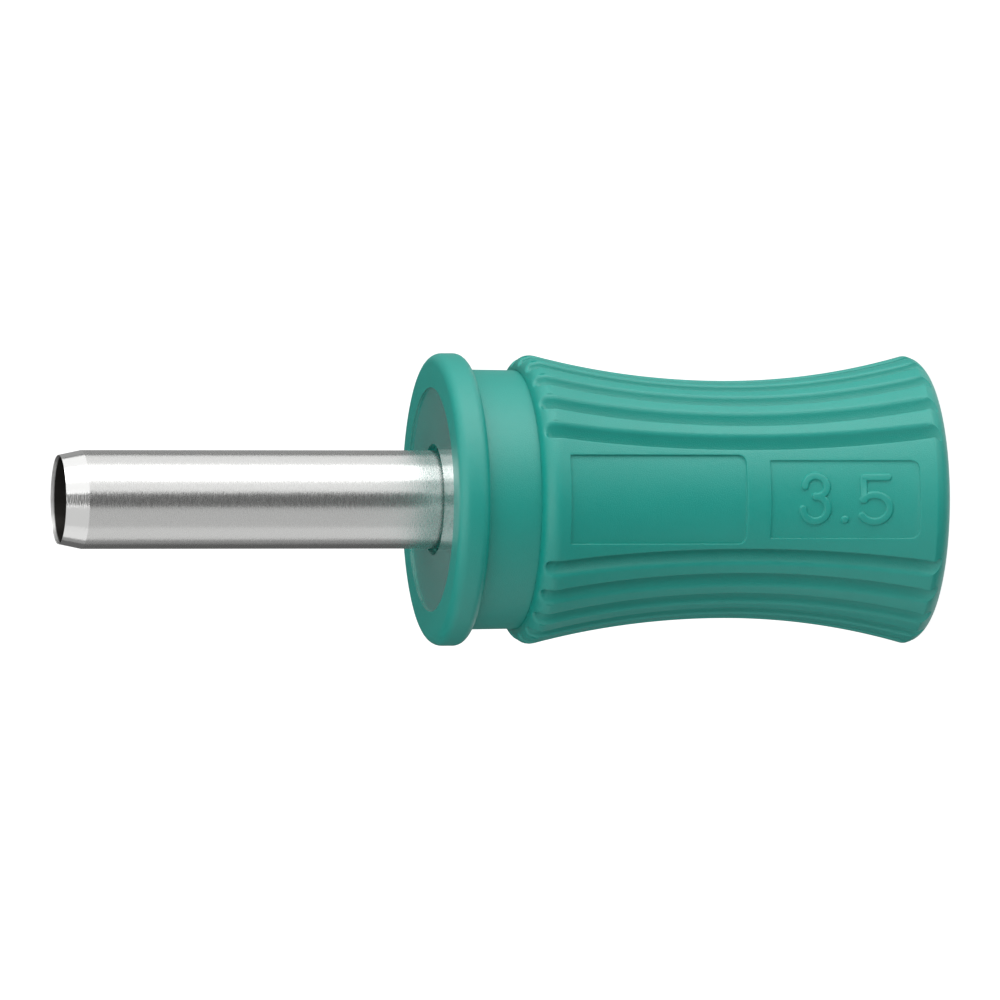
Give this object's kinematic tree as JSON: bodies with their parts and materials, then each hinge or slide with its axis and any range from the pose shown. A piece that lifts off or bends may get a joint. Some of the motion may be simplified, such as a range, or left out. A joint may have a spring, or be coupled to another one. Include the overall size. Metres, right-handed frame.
{
  "type": "tissue punch",
  "caption": "Hand-held tissue punch: a ground steel tube with a round cutting edge, a depth-stop flange and a waisted, grooved plastic grip.",
  "frame": {"origin": "centre of the grip's flat rear face", "axes": "+Z along the tool's axis, from the rear face towards the cutting edge; the label panels face -Y and the two groups of grooves face +X and -X"},
  "size_m": [0.0116, 0.0116, 0.0347],
  "materials": {
    "steel": "satin, fine grinding marks that run round the tube, brighter at the ground bevel",
    "green_plastic": "satin moulded ABS, glossy in the disc sunk in the flange"
  },
  "bodies": {
    "root": {"cutting_tube": "steel", "front_hub": "green_plastic", "grip_sleeve": "green_plastic"}
  },
  "joints": []
}
